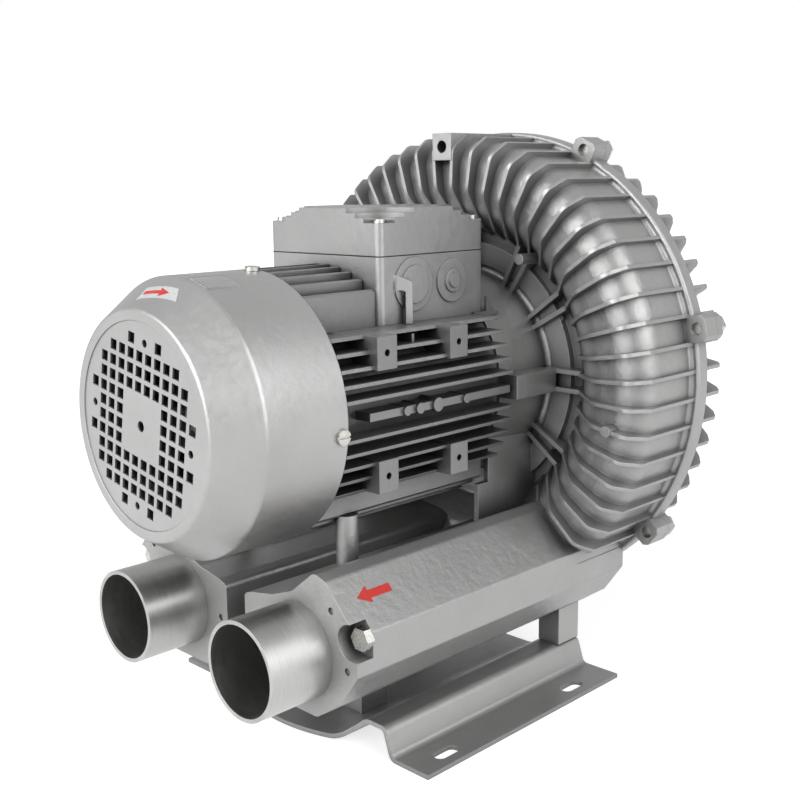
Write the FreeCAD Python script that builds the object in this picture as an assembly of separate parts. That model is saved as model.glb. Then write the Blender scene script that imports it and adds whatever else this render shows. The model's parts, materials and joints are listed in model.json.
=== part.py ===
"""Side-channel vacuum blower: fan-cooled motor, finned side-channel housing, two silencers and a base.

Millimetres. +X is right seen from the fan cowl, the cowl and the two hose pipes face -Y, +Z is up.
The shaft lies along Y. Shapes are drawn with Y counted back from the front of the cowl and Z from the
floor, and are moved at the end so that the origin is the middle of the base.
"""
import FreeCAD, Part
import math
import os

from FreeCAD import Vector

# General
shaft_height = 215.0            # shaft axis above the floor
seat_gap = 0.05                 # between two pieces that slide together on assembly
race_gap = 0.04                 # between the balls and their races

# Fan cowl: pressed sheet
cowl_r = 84.4
cowl_rim_r = 67.5
cowl_sheet = 1.5
cowl_cone_length = 25.7
cowl_length = 84.1
cowl_bead_r = 2.5
grille_recess = 0.8
grille_edge_r = 0.4
grille_r = 61.0
grille_turn = -9.9              # degrees, the pressed pattern sits turned on the motor
grille_pitch = 9.0
grille_hole = 6.3
grille_pin_hole_r = 2.3
grille_pin_circle_r = 49.3
grille_centre_hole_r = 3.2
cowl_screw_r = 2.0
cowl_screw_head_r = 4.6
cowl_screw_head = 2.4
cowl_screw_length = 9.0
cowl_screw_turn = -4.5
cowl_screw_count = 4

# Motor frame: extruded and cast aluminium
frame_length = 151.6
frame_bore_r = 63.0
frame_tube_r = 68.0
frame_fin = 2.2
frame_fin_pitch = 8.75
frame_fin_first = 11.5
frame_fin_count = 5
frame_fin_end = 4.0             # the fins stop this far before the rear face
top_fin_count = 5               # on each side of the middle
top_fin_pitch = 10.5
platform_half = 55.5
platform_bottom = 43.0          # above the shaft
platform_top = 48.0
platform_start = 15.5
saddle_top = 69.5               # flat seat over the tube, above the shaft
cowl_wall_top = 69.0            # top of the walls beside the top fins, above the shaft
gusset_tall = 11.0
web_places = (67.3, 90.6)       # small webs under the platform, behind the front of the frame
wire_hole_r = 9.0
side_rib = 5.0
side_rib_r = 81.0
side_boss_places = (49.7, 61.0, 76.8, 103.2)
side_boss_radii = (3.0, 3.4, 4.4, 3.0)
pad_x = 82.5
pad_wide = 16.0
pad_tall = 20.0
pad_up = 37.2
pad_near = 33.4
pad_pitch = 62.6
pad_hole_r = 2.1
pad_hole_deep = 9.0

# Stator, rotor and shaft
core_length = 104.0
core_start = 24.0
slot_count = 24
slot_wide = 5.0
slot_r0 = 36.5
slot_r1 = 50.5
stator_bore_r = 34.0
air_gap = 0.4
winding_gap = 0.25
coil_overhang = 12.0
coil_end_clear = 2.0
coil_r1 = 56.0
cage_ring = 9.0
cage_r0 = 21.0
shaft_mid_r = 14.0
shaft_fan_r = 9.0
shaft_end_r = 12.0
fan_bearing_r = 10.0
fan_bearing_outer_r = 23.5
fan_bearing_wide = 14.0
drive_bearing_r = 12.5
drive_bearing_outer_r = 26.0
drive_bearing_wide = 15.0
ball_count = 8
race_share = 0.30               # race wall as a share of the space between bore and outside
groove_share = 0.55             # share of that wall left under the groove
cage_wall = 2.4
cage_inset = 1.5

# Fan-end shield
shield_rim = 10.0
shield_plate = 5.0
shield_hub_r = 30.0
shield_spigot = 5.0
shield_window_r0 = 36.0
shield_window_r1 = 56.0
shield_window_count = 6
washer_thick = 1.5

# Cooling fan
fan_hub_r = 17.0
fan_r = 72.0
fan_plate = 2.5
fan_blade_count = 8
fan_blade = 2.4
fan_blade_wide = 20.0
fan_hub_length = 20.0
clip_thick = 1.2
clip_groove = 0.7
clip_r = 12.5

# Side-channel housing
bell_length = 50.0
bell_r0 = 69.5
bell_r1 = 71.5
bell_wall = 6.0
bell_clear = 0.5                # between the bell and what reaches over it
ring_r0 = 77.0                  # raised ring round the bell on the disc
ring_r1 = 92.0
ring_rise = 2.0
groove_deep = 3.0
spigot_length = 5.0
hub_r = 34.0
disc_to_chamber = 16.0
channel_mid_r = 127.0
channel_r = 25.0
chamber_depth = 29.0            # chamber inside the front housing
chamber_rest = 3.0              # chamber inside the rear cover
torus_r0 = 99.0
torus_r1 = 163.5
torus_rise = 23.0
flange_r = 169.5
flange_thick = 11.0
gasket_thick = 0.5
fin_count = 56
fin_thick = 2.6
fin_tip_r = 167.2
fin_front = 31.5                # fin front edge before the disc face
fin_start = 18.0                # corner of the outer fin edge before the disc face
pair_fins = 3.214               # half the pitch between two fins, degrees
pair_step = 32.143
pair_fin_r = 69.0
pair_fin_rise = 8.0
pair_fin_thick = 3.2
stripper_half_angle = 17.0
port_x = 57.5
port_z = 92.0
port_r = 18.0
lug_count = 7
lug_circle_r = 172.3
lug_first_angle = -90.0
lug_half = 9.0
lug_out = 7.0
lug_in = 14.0
lug_ahead = 3.0
lug_chamfer = 3.0
screw_r = 4.0
screw_head_r = 7.4
screw_head = 5.3
arm_half = 8.0
arm_reach = 84.0
arm_length = 42.0
apron_x0 = 54.0                 # walls under the bell
apron_x1 = 58.0
apron_bottom = 117.0
apron_top = 146.0               # as far as they reach forwards under the motor frame
apron_ahead = 9.0
foot_half_angle = 36.0          # the foot has no fins this far to each side
beside_foot_angle = 45.0        # fins nearer to the foot start behind the silencers
peg_r = 3.7
peg_places = ((106.0, 51.4, 4.5), (144.0, -9.6, -0.5), (90.0, 27.6, 31.0), (90.0, -32.1, 31.0),
              (90.0, 62.0, 31.0))   # radius, angle, start behind the fins' front
lift_wide = 17.5
lift_top = 168.0
lift_bottom = 149.5
lift_front = 32.0
lift_hole_r = 4.3
lift_hole_deep = 22.0

# Rear cover
cover_flange = 6.0
cover_flange_r = 164.7
cover_torus_r1 = 158.0
cover_depth = 55.0              # joint plane to the back of the fins
cover_wall = 8.0
cover_fin_r = 165.0
cover_hub_r = 36.0
cover_pocket_r = 24.0
cover_pocket = 12.0
spoke_count = 8

# Impeller and what holds it
impeller_wide = 31.0
impeller_tip_r = 151.4
blade_root_r = 106.0
blade_count = 48
blade_thick = 3.0
blade_web = 5.0
impeller_disc = 8.0
impeller_hub_r = 24.0
key_wide = 8.0
key_tall = 7.0
key_length = 22.0
end_washer_r = 17.0
end_washer = 3.0
end_bolt_r = 4.0
end_bolt_head_r = 7.4
end_bolt_head = 5.3
end_bolt_length = 24.0
seal_r = 20.0
seal_wide = 8.0

# Silencers and hose pipes
silencer_front = 61.9
silencer_wall = 4.2
silencer_join = 262.0           # where the silencer meets the housing
sleeve_thick = 8.0
sleeve_clear = 0.3
pipe_x = 60.6
pipe_z = 78.7
pipe_r = 30.0
pipe_wall = 2.5
pipe_step = 0.5
pipe_front = 18.2
pipe_socket = 18.0
inner_side_x = 9.5
outer_side_x = 112.0
silencer_floor = 40.5
crest_top = 21.5
foot_block_x0 = 70.0
foot_block_x1 = 88.0
foot_block_length = 23.0
front_foot_x0 = 20.0            # the front feet stand on the middle web
front_foot_x1 = 38.0
front_foot_start = 26.0
pocket_x = 106.5
pocket_z = 95.5
pocket_r = 10.8
pocket_deep = 12.6
silencer_bolt_r = 4.0
silencer_bolt_head_r = 7.4
silencer_bolt_head = 5.6
silencer_bolt_grip = 20.0
dimple_r = 2.2
dimple_deep = 1.6
dimple_places = ((90.5, 110.5), (103.5, 77.5), (16.5, 77.5))
pillar_x = 52.5
pillar_y = 110.0
pillar_r = 7.0
pillar_top_z = 150.0

# Base bracket: bent sheet
sheet = 3.0
bracket_front = 106.7
bracket_rear = 303.1
bracket_bulge = 15.0
bracket_half = 123.3
riser_x = 92.6
crest_x0 = 70.0
crest_x1 = 88.0
trough_x = 48.0
trough_z = 1.0                  # underside of the middle web above the floor
bend_r = 4.0
slot_x = 111.7
slot_near = 28.5
slot_pitch = 128.8
slot_half_wide = 4.5
slot_long = 20.0
bracket_bolt_r = 4.0
bracket_bolt_head_r = 7.0
bracket_bolt_length = 18.0
front_bolt_length = 54.0        # through the front foot into the silencer
bolt_end_gap = 1.0

# Terminal box: moulded
box_half = 52.5
box_start = 57.1                # behind the front of the motor frame
box_length = 96.5
box_wall = 3.0
box_base_tall = 42.0
box_lid_tall = 29.0
box_lid_corner = 20.0
box_corner = 4.0
box_post_r = 5.0
lid_step_radii = (30.0, 22.0, 14.0)
lid_gasket = 0.6
knock_outs = ((29.1, (17.0, 12.0)), (64.5, (14.0, 7.5, 4.5)))   # place along the box and radii of the steps
knock_out_up = 24.0
knock_out_proud = 1.2
gland_wedge = (10.5, 22.0)      # start and end of the moulded wedge along the box
gland_wedge_out = 6.5
gland_wedge_tall = 31.0
gland_wedge_drop = 6.0          # its top slopes down outwards
gland_pocket_out = 4.0
gland_pocket_tall = 21.0
lid_screw_inset = 6.0
lid_screw_r = 2.0
lid_screw_head_r = 3.6
lid_screw_head = 2.4
lid_screw_deep = 14.0
block_wide = 58.0
block_deep = 28.0
block_tall = 12.0
block_wall = 2.0
block_start = 44.0
stud_r = 2.0
stud_up = 10.0
stud_hold = 5.0
stud_pitch = 18.0
stud_row = 7.0
stud_nut_r = 3.8
stud_nut = 3.0
box_screw_r = 2.0
box_screw_head_r = 3.8
box_screw_head = 2.4
box_screw_deep = 6.0
box_screw_inset = 14.0
wire_hole_inset = 30.0

# Places along the shaft that follow from the sizes above
frame_front = cowl_length + 0.3
frame_rear = frame_front + frame_length
box_front = frame_front + box_start
box_rear = box_front + box_length
box_floor = shaft_height + saddle_top + box_wall
box_join = shaft_height + platform_top + box_base_tall
shield_front = frame_front - shield_rim
disc_face = frame_rear + bell_length
chamber_front = disc_face + disc_to_chamber
joint = chamber_front + chamber_depth
chamber_rear = joint + gasket_thick + chamber_rest
cover_front = joint + gasket_thick
overall_length = cover_front + cover_depth
core_front = frame_front + core_start
core_rear = core_front + core_length
seat_front = frame_rear + 2.0
seat_rear = seat_front + drive_bearing_wide
fan_bearing_front = frame_front - 16.0
fan_bearing_rear = fan_bearing_front + fan_bearing_wide
fan_hub_front = fan_bearing_front - 6.0 - fan_hub_length
shaft_front = fan_hub_front - 5.0
impeller_front = (chamber_front + chamber_rear - impeller_wide) / 2
impeller_rear = impeller_front + impeller_wide
chamber_r = channel_mid_r + channel_r
seal_front = chamber_front - seal_wide - 2.0
web_top = trough_z + sheet
front_bolt_y = bracket_front + front_foot_start + foot_block_length / 2
front_bolt_x = (front_foot_x0 + front_foot_x1) / 2
rear_bolt_y = bracket_rear - foot_block_length / 2
rear_bolt_x = (foot_block_x0 + foot_block_x1) / 2
axis_point = Vector(0, 0, shaft_height)
axis_dir = Vector(0, 1, 0)


def outline(corners, place):
    """Closed wire through corners (a, b, rounding radius); place turns a and b into a point."""
    ends = []
    for i, (a, b, radius) in enumerate(corners):
        corner = Vector(a, b, 0)
        back = Vector(corners[i - 1][0], corners[i - 1][1], 0) - corner
        ahead = Vector(corners[(i + 1) % len(corners)][0], corners[(i + 1) % len(corners)][1], 0) - corner
        if radius == 0:
            ends.append((corner, None, corner))
            continue
        back.normalize()
        ahead.normalize()
        half = back.getAngle(ahead) / 2
        inward = back + ahead
        inward.normalize()
        centre = corner + inward * (radius / math.sin(half))
        reach = radius / math.tan(half)
        ends.append((corner + back * reach, centre - inward * radius, corner + ahead * reach))
    edges = []
    for i, (start, middle, end) in enumerate(ends):
        if middle is not None:
            edges.append(Part.Arc(place(start), place(middle), place(end)).toShape())
        following = ends[(i + 1) % len(ends)][0]
        if (following - end).Length > 1e-6:
            edges.append(Part.LineSegment(place(end), place(following)).toShape())
    return Part.Wire(edges)


def turned_shape(corners, degrees=360.0):
    """Solid of revolution about the shaft, from corners (radius, y, rounding radius)."""
    wire = outline(corners, lambda p: Vector(p.x, p.y, shaft_height))
    return Part.Face(wire).revolve(axis_point, axis_dir, degrees)


def radial_plate(corners, thick, degrees):
    """Flat plate through the shaft axis, from corners (radius, y, rounding radius), at an angle."""
    wire = outline(corners, lambda p: Vector(p.x, p.y, shaft_height - thick / 2))
    return round_shaft(Part.Face(wire).extrude(Vector(0, 0, thick)), degrees)


def prism(corners, y0, y1):
    """Straight prism along Y, from corners (x, z, rounding radius)."""
    wire = outline(corners, lambda p: Vector(p.x, y0, p.y))
    return Part.Face(wire).extrude(Vector(0, y1 - y0, 0))


def round_shaft(shape, degrees):
    """The shape turned about the shaft, counted from +X towards +Z."""
    copy = shape.copy()
    copy.rotate(axis_point, axis_dir, -degrees)
    return copy


def rod(radius, y0, y1, x=0.0, z=shaft_height):
    return Part.makeCylinder(radius, y1 - y0, Vector(x, y0, z), axis_dir)


def ring(outer, inner, y0, y1, x=0.0, z=shaft_height):
    return rod(outer, y0, y1, x, z).cut(rod(inner, y0 - 1, y1 + 1, x, z))


def post(radius, z0, z1, x, y):
    return Part.makeCylinder(radius, z1 - z0, Vector(x, y, z0))


def block(x0, x1, y0, y1, z0, z1):
    return Part.makeBox(x1 - x0, y1 - y0, z1 - z0, Vector(x0, y0, z0))


def hexagon(radius, y0, y1, x, z):
    """Hexagon bar along Y; radius is to its flats' corners."""
    points = [(x + radius * math.cos(math.radians(60 * k)), z + radius * math.sin(math.radians(60 * k)), 0)
              for k in range(6)]
    return prism(points, y0, y1)


def mirrored(shape):
    return shape.mirror(Vector(0, 0, 0), Vector(1, 0, 0))


def both_sides(shape):
    return [shape, mirrored(shape)]


def joined(base, others):
    return base.multiFuse(others)


def lug_angles():
    return [lug_first_angle + 360.0 / lug_count * k for k in range(lug_count)]


def lug_centre(degrees):
    angle = math.radians(degrees)
    return lug_circle_r * math.cos(angle), shaft_height + lug_circle_r * math.sin(angle)


def save(name, shapes):
    """Write one node; a list of shapes becomes a group of separate solids."""
    shape = shapes if not isinstance(shapes, list) else Part.makeCompound(shapes)
    if shape.ShapeType != "Solid":
        solids = shape.Solids
        shape = solids[0] if len(solids) == 1 else Part.makeCompound(solids)
    shape = shape.copy()
    shape.translate(Vector(0, -overall_length / 2, 0))
    shape.exportStep("parts/" + name + ".step")
    print(f"{name}: {len(shape.Solids)} solids, valid {shape.isValid()}, {shape.Volume / 1000:.1f} cm3")


# Fan cowl and its screws

def grille_holes():
    """Square holes of the pressed grille, as (column, row) in half pitches."""
    rows = {5.5: (1.5,), 4.5: (0.5, 1.5, 2.5, 3.5), 3.5: (0.5, 1.5, 2.5, 3.5, 4.5),
            2.5: (0.5, 1.5, 2.5, 3.5, 4.5), 1.5: (2.5, 3.5, 4.5, 5.5), 0.5: (2.5, 3.5, 4.5)}
    return [(sx * column, sz * row) for row, columns in rows.items() for column in columns
            for sx in (1, -1) for sz in (1, -1)]


def fan_cowl():
    inner = cowl_r - cowl_sheet
    rim_inner = cowl_rim_r - cowl_sheet
    shell = turned_shape([
        (0, grille_recess, 0), (grille_r, grille_recess, 0), (grille_r, 0, grille_edge_r),
        (cowl_rim_r, 0, cowl_bead_r), (cowl_r, cowl_cone_length, 4), (cowl_r, cowl_length, 0),
        (inner, cowl_length, 0), (inner, cowl_cone_length, 3), (rim_inner, cowl_sheet + 1, 1.5),
        (grille_r + 3 * cowl_sheet, cowl_sheet, 0.8), (grille_r + cowl_sheet, grille_recess + cowl_sheet, 0),
        (0, grille_recess + cowl_sheet, 0)])
    cuts = []
    half = grille_hole / 2
    through = grille_recess + 2 * cowl_sheet
    for column, row in grille_holes():
        x, z = column * grille_pitch, shaft_height + row * grille_pitch
        cuts.append(block(x - half, x + half, 0, through, z - half, z + half))
    for k in range(4):
        cuts.append(round_shaft(rod(grille_pin_hole_r, 0, through, grille_pin_circle_r), 90 * k))
    cuts.append(rod(grille_centre_hole_r, 0, through))
    pattern = round_shaft(Part.makeCompound(cuts), grille_turn)
    holes = [cowl_screw(degrees, hole=True) for degrees in cowl_screw_angles()]
    return shell.cut(pattern).cut(Part.makeCompound(holes))


def cowl_screw_angles():
    return [cowl_screw_turn + 360.0 / cowl_screw_count * k for k in range(cowl_screw_count)]


def cowl_screw(degrees, hole=False):
    """Radial screw through the cowl into the shield rim, or the hole that it needs."""
    y = frame_front - shield_rim / 2
    radius = cowl_screw_r + (seat_gap if hole else 0)
    shank = Part.makeCylinder(radius, cowl_screw_length, Vector(cowl_r - cowl_screw_length, y, shaft_height),
                              Vector(1, 0, 0))
    if hole:
        return round_shaft(shank, degrees)
    head = Part.makeCylinder(cowl_screw_head_r, cowl_screw_head, Vector(cowl_r, y, shaft_height),
                             Vector(1, 0, 0))
    drive = Part.makeBox(1, 2 * cowl_screw_head_r, 1.2,
                         Vector(cowl_r + cowl_screw_head - 1, y - cowl_screw_head_r, shaft_height - 0.6))
    return round_shaft(shank.fuse(head).cut(drive), degrees)


# Cooling fan on the end of the shaft

def cooling_fan():
    plate_y = fan_hub_front + fan_hub_length - fan_plate
    hub = rod(fan_hub_r, fan_hub_front, fan_hub_front + fan_hub_length)
    disc = rod(fan_r - 6, plate_y, plate_y + fan_plate)
    blades = [radial_plate([(fan_hub_r - 2, plate_y - fan_blade_wide + fan_plate, 0),
                            (fan_r, plate_y - fan_blade_wide + fan_plate + 3, 4),
                            (fan_r, plate_y + fan_plate, 0), (fan_hub_r - 2, plate_y + fan_plate, 0)],
                           fan_blade, 360.0 / fan_blade_count * k) for k in range(fan_blade_count)]
    return joined(hub, [disc] + blades).cut(rod(shaft_fan_r + seat_gap, shaft_front, frame_front))


def fan_clip():
    """Open snap ring in the groove at the end of the shaft."""
    y0 = fan_hub_front - clip_thick - 0.1
    hoop = ring(clip_r, shaft_fan_r - clip_groove + seat_gap, y0, y0 + clip_thick)
    return hoop.cut(block(-4, 4, y0 - 1, y0 + 3, shaft_height, shaft_height + clip_r + 1))


# Fan-end shield

def fan_end_shield():
    bearing_back = fan_bearing_front - washer_thick
    hub_front = bearing_back - 3
    rim_r = cowl_r - cowl_sheet - seat_gap
    body = turned_shape([
        (fan_bearing_r + 2, hub_front, 0), (shield_hub_r, hub_front, 2), (shield_hub_r, shield_front + 2, 3),
        (frame_bore_r, shield_front + 2, 3), (rim_r - 4, shield_front, 0),
        (rim_r, shield_front + 1, 0), (rim_r, frame_front, 0),
        (frame_bore_r - seat_gap, frame_front, 0), (frame_bore_r - seat_gap, frame_front + shield_spigot, 0),
        (frame_bore_r - 5, frame_front + shield_spigot, 0),
        (frame_bore_r - 5, shield_front + 2 + shield_plate, 2),
        (shield_hub_r, shield_front + 2 + shield_plate, 2), (shield_hub_r, fan_bearing_rear + 2, 0),
        (fan_bearing_outer_r, fan_bearing_rear + 2, 0), (fan_bearing_outer_r, bearing_back, 0),
        (fan_bearing_r + 2, bearing_back, 0)])
    window = turned_shape([(shield_window_r0, shield_front - 5, 0), (shield_window_r1, shield_front - 5, 0),
                           (shield_window_r1, frame_front + 5, 0), (shield_window_r0, frame_front + 5, 0)],
                          360.0 / shield_window_count - 20)
    step = 360.0 / shield_window_count
    cuts = [round_shaft(window, step * k + 5) for k in range(shield_window_count)]
    cuts += [cowl_screw(degrees, hole=True) for degrees in cowl_screw_angles()]
    for cut in cuts:
        body = body.cut(cut)
    return body


def wave_washer():
    """Preload washer behind the fan-end bearing, drawn flat as it is when squeezed."""
    return ring(fan_bearing_outer_r - 0.3, fan_bearing_outer_r - 4, fan_bearing_front - washer_thick + 0.1,
                fan_bearing_front - 0.1)


# Bearings

def ball_radius(bore_r, outer_r):
    """The balls run in grooves a little shallower than half the wall of a race."""
    return (outer_r - bore_r) * (0.5 - race_share * groove_share)


def bearing(bore_r, outer_r, y0, wide):
    """Outer race, inner race and balls of a deep-groove bearing."""
    wall = (outer_r - bore_r) * race_share
    middle_r = (outer_r + bore_r) / 2
    ball_r = ball_radius(bore_r, outer_r)
    groove = Part.makeTorus(middle_r, ball_r + race_gap, Vector(0, y0 + wide / 2, shaft_height), axis_dir)
    outer = ring(outer_r, outer_r - wall, y0, y0 + wide).cut(groove)
    inner = ring(bore_r + wall, bore_r, y0, y0 + wide).cut(groove)
    ball = Part.makeSphere(ball_r, Vector(middle_r, y0 + wide / 2, shaft_height))
    balls = [round_shaft(ball, 360.0 / ball_count * k) for k in range(ball_count)]
    return outer, inner, balls


def bearing_cage(bore_r, outer_r, y0, wide):
    """Ring that keeps the balls apart, with a round pocket for each ball."""
    middle_r = (outer_r + bore_r) / 2
    hoop = ring(middle_r + cage_wall / 2, middle_r - cage_wall / 2, y0 + cage_inset, y0 + wide - cage_inset)
    radius = ball_radius(bore_r, outer_r) + race_gap
    start = Vector(middle_r - cage_wall, y0 + wide / 2, shaft_height)
    pocket = Part.makeCylinder(radius, 2 * cage_wall, start, Vector(1, 0, 0))
    for k in range(ball_count):
        hoop = hoop.cut(round_shaft(pocket, 360.0 / ball_count * k))
    return hoop


# Motor frame, stator and rotor

def motor_frame():
    fin_rear = frame_rear - frame_fin_end
    tube = rod(frame_tube_r, frame_front, frame_rear)
    half = frame_fin / 2
    plates = []
    for k in range(frame_fin_count):
        for sign in (1, -1):
            z = shaft_height + sign * (frame_fin_first + frame_fin_pitch * k)
            plates.append(block(-cowl_r, cowl_r, frame_front, fin_rear, z - half, z + half))
    for k in range(-top_fin_count, top_fin_count):
        x = (k + 0.5) * top_fin_pitch
        plates.append(block(x - half, x + half, frame_front, box_front - 1,
                            shaft_height, shaft_height + cowl_r))
        plates.append(block(x - half, x + half, frame_front, fin_rear, shaft_height - cowl_r, shaft_height))
    for x in (-platform_half, platform_half):
        inner_x = x - math.copysign(frame_fin, x)
        plates.append(block(min(x, inner_x), max(x, inner_x), frame_front, fin_rear,
                            shaft_height - cowl_r, shaft_height))
    platform = block(-platform_half, platform_half, frame_front + platform_start, frame_rear + 14,
                     shaft_height + platform_bottom, shaft_height + platform_top)
    neck = block(-platform_half + 8, platform_half - 8, frame_front + platform_start, frame_rear,
                 shaft_height + 30, shaft_height + platform_top)
    saddle = block(-box_half + box_wall + seat_gap, box_half - box_wall - seat_gap,
                   box_front + box_wall + seat_gap, box_rear - box_wall - seat_gap,
                   shaft_height + platform_bottom, shaft_height + saddle_top)
    rib = block(-side_rib_r, side_rib_r, frame_front + 20, fin_rear, shaft_height - side_rib / 2,
                shaft_height + side_rib / 2)
    envelope = rod(cowl_r, frame_front, fin_rear)
    bosses = []
    for y, radius in zip(side_boss_places, side_boss_radii):
        boss = Part.makeCylinder(radius, 20, Vector(side_rib_r - 18, frame_front + y, shaft_height),
                                 Vector(1, 0, 0))
        bosses += both_sides(boss)
    pads, pad_holes = [], []
    for y in (pad_near, pad_near + pad_pitch):
        for sign in (1, -1):
            z = shaft_height + sign * pad_up
            middle = frame_front + y
            pad = block(frame_tube_r - 14, pad_x, middle - pad_wide / 2, middle + pad_wide / 2,
                        z - pad_tall / 2, z + pad_tall / 2)
            hole = Part.makeCylinder(pad_hole_r, pad_hole_deep, Vector(pad_x - pad_hole_deep, middle, z),
                                     Vector(1, 0, 0))
            pads += both_sides(pad)
            pad_holes += both_sides(hole)
    ribs = Part.makeCompound(plates + [rib]).common(envelope)
    webs = []
    for y in web_places:
        web = block(platform_half - 4, cowl_r - 14, frame_front + y - 1, frame_front + y + 1,
                    shaft_height + frame_fin_first + frame_fin_pitch * 3, shaft_height + platform_bottom + 1)
        webs += both_sides(web)
    extras = [platform, neck, saddle] + bosses + pads + webs + frame_gussets()
    body = joined(tube, ribs.Solids + extras)
    body = body.cut(rod(frame_bore_r, frame_front - 1, frame_rear + 20))
    body = body.cut(rod(bell_r1 + bell_clear, frame_rear, frame_rear + 30))
    top = shaft_height + saddle_top
    wire_hole = post(wire_hole_r, shaft_height + frame_bore_r - 5, top + 1, 0, box_front + wire_hole_inset)
    screws = [post(box_screw_r + seat_gap, top - box_screw_deep - 1, top + 1, x, y)
              for x, y in box_screw_places()]
    return body.cut(Part.makeCompound([wire_hole] + screws + pad_holes))


def frame_gussets():
    """Walls beside the top fins in front of the box, and small triangles on the platform behind it."""
    x = (top_fin_count - 0.5) * top_fin_pitch + frame_fin / 2
    z0, z1 = shaft_height + platform_bottom, shaft_height + cowl_wall_top
    side = side_plate([(frame_front + 1, z1), (box_front, z1), (box_front, z0), (frame_front + 24, z0)], x)
    z = shaft_height + platform_top
    gusset = side_plate([(frame_rear - 10, z - 3), (frame_rear - 10, z + 1), (box_rear, z + 1),
                         (box_rear, z + gusset_tall), (box_rear + gusset_tall, z - 3)], platform_half)
    return both_sides(side) + both_sides(gusset)


def side_plate(corners, x):
    """Upright plate with corners (y, z), as thick as a fin, its outer face at x."""
    wire = outline([(y, z, 0) for y, z in corners], lambda p: Vector(x, p.x, p.y))
    return Part.Face(wire).extrude(Vector(-frame_fin, 0, 0))


def slot_bar(grow):
    """One winding slot, made smaller all round by grow for the bar that lies in it."""
    return block(slot_r0 + grow, slot_r1 - grow, core_front - coil_overhang, core_rear + coil_overhang,
                 shaft_height - slot_wide / 2 + grow, shaft_height + slot_wide / 2 - grow)


def stator_core():
    core = ring(frame_bore_r, stator_bore_r, core_front, core_rear)
    slots = [round_shaft(slot_bar(0), 360.0 / slot_count * k) for k in range(slot_count)]
    return core.cut(Part.makeCompound(slots))


def stator_windings():
    ends = []
    for y0 in (core_front - coil_end_clear - coil_overhang, core_rear + coil_end_clear):
        ends.append(turned_shape([(slot_r0 + 1, y0, 3), (coil_r1, y0, 4), (coil_r1, y0 + coil_overhang, 4),
                                  (slot_r0 + 1, y0 + coil_overhang, 3)]))
    bars = [round_shaft(slot_bar(winding_gap), 360.0 / slot_count * k) for k in range(slot_count)]
    return joined(ends[0], [ends[1]] + bars)


def rotor_core():
    core = ring(stator_bore_r - air_gap, shaft_mid_r, core_front, core_rear)
    cage = [ring(stator_bore_r - 3, cage_r0, core_front - cage_ring, core_front),
            ring(stator_bore_r - 3, cage_r0, core_rear, core_rear + cage_ring)]
    return joined(core, cage)


def key_block(extra=0.0):
    """Key between the shaft and the impeller; extra makes the seat that it lies in."""
    y0 = impeller_front + (impeller_wide - key_length) / 2
    return block(-key_wide / 2 - extra, key_wide / 2 + extra, y0 - extra, y0 + key_length + extra,
                 shaft_height + shaft_end_r - key_tall / 2 - extra,
                 shaft_height + shaft_end_r + key_tall / 2 + extra)


def motor_shaft():
    end = impeller_rear - 2
    steps = [rod(shaft_fan_r, shaft_front, fan_bearing_front - 2),
             rod(fan_bearing_r, fan_bearing_front - 2, fan_bearing_rear),
             rod(shaft_mid_r, fan_bearing_rear, seat_front), rod(drive_bearing_r, seat_front, seat_rear),
             rod(shaft_end_r, seat_rear, end)]
    body = joined(steps[0], steps[1:])
    clip_y = fan_hub_front - clip_thick - 0.1
    groove = ring(clip_r, shaft_fan_r - clip_groove, clip_y - 0.05, clip_y + clip_thick + 0.05)
    bolt = rod(end_bolt_r + seat_gap, end - end_bolt_length, end + 1)
    return body.cut(groove).cut(bolt).cut(key_block(seat_gap))


# Side-channel housing

def channel_corners(y_open, y_deep):
    """Half-round channel section, open at y_open and deepest at y_deep."""
    r0, r1 = channel_mid_r - channel_r, channel_mid_r + channel_r
    rounding = channel_r - 0.2
    return [(r0, y_open, 0), (r0, y_deep, rounding), (r1, y_deep, rounding), (r1, y_open, 0)]


def fin_angles():
    """Angles of the casting's fins; the foot of the housing has none."""
    step = 360.0 / fin_count
    angles = [90.0 + step * (k + 0.5) for k in range(fin_count)]
    return [a for a in angles if angle_from_foot(a) > foot_half_angle]


def angle_from_foot(degrees):
    return abs((degrees - 270 + 180) % 360 - 180)


def front_fin(degrees):
    y0 = disc_face
    return radial_plate([
        (torus_r0 - 2, y0 + 4, 0), (104, y0 - 9, 0), (130, y0 - fin_front + 0.5, 12),
        (158, y0 - fin_front, 8), (fin_tip_r, y0 - fin_start, 4), (fin_tip_r, joint - flange_thick + 2, 0),
        (torus_r1 - 4, joint - flange_thick + 2, 0), (torus_r1 - 4, y0 + 8, 0), (146, y0 - 9, 0),
        (114, y0 - 9, 0)], fin_thick, degrees)


def front_fins():
    """All fins of the front casting; the two beside the foot start behind the silencers."""
    ahead = block(-torus_r1, torus_r1, disc_face - fin_front - 1, silencer_join, 0, shaft_height)
    fins = []
    for degrees in fin_angles():
        fin = front_fin(degrees)
        fins.append(fin.cut(ahead) if angle_from_foot(degrees) < beside_foot_angle else fin)
    return fins


def pair_fin(degrees):
    """Rib on the disc that carries a fin inwards to the bell."""
    y0 = disc_face
    return radial_plate([(pair_fin_r, y0 - 6, 0), (104, y0 - pair_fin_rise, 0), (110, y0 + 2, 0),
                         (pair_fin_r + 6, y0 + 2, 0)], pair_fin_thick, degrees)


def pair_angles():
    centres = [90.0 * quarter + pair_step * k for quarter in range(4) for k in (-1, 0, 1)]
    centres = [a for a in centres if angle_from_foot(a) > foot_half_angle + 4 and a % 180 != 0]
    return [a + side * pair_fins for a in centres for side in (-1, 1)]


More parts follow.
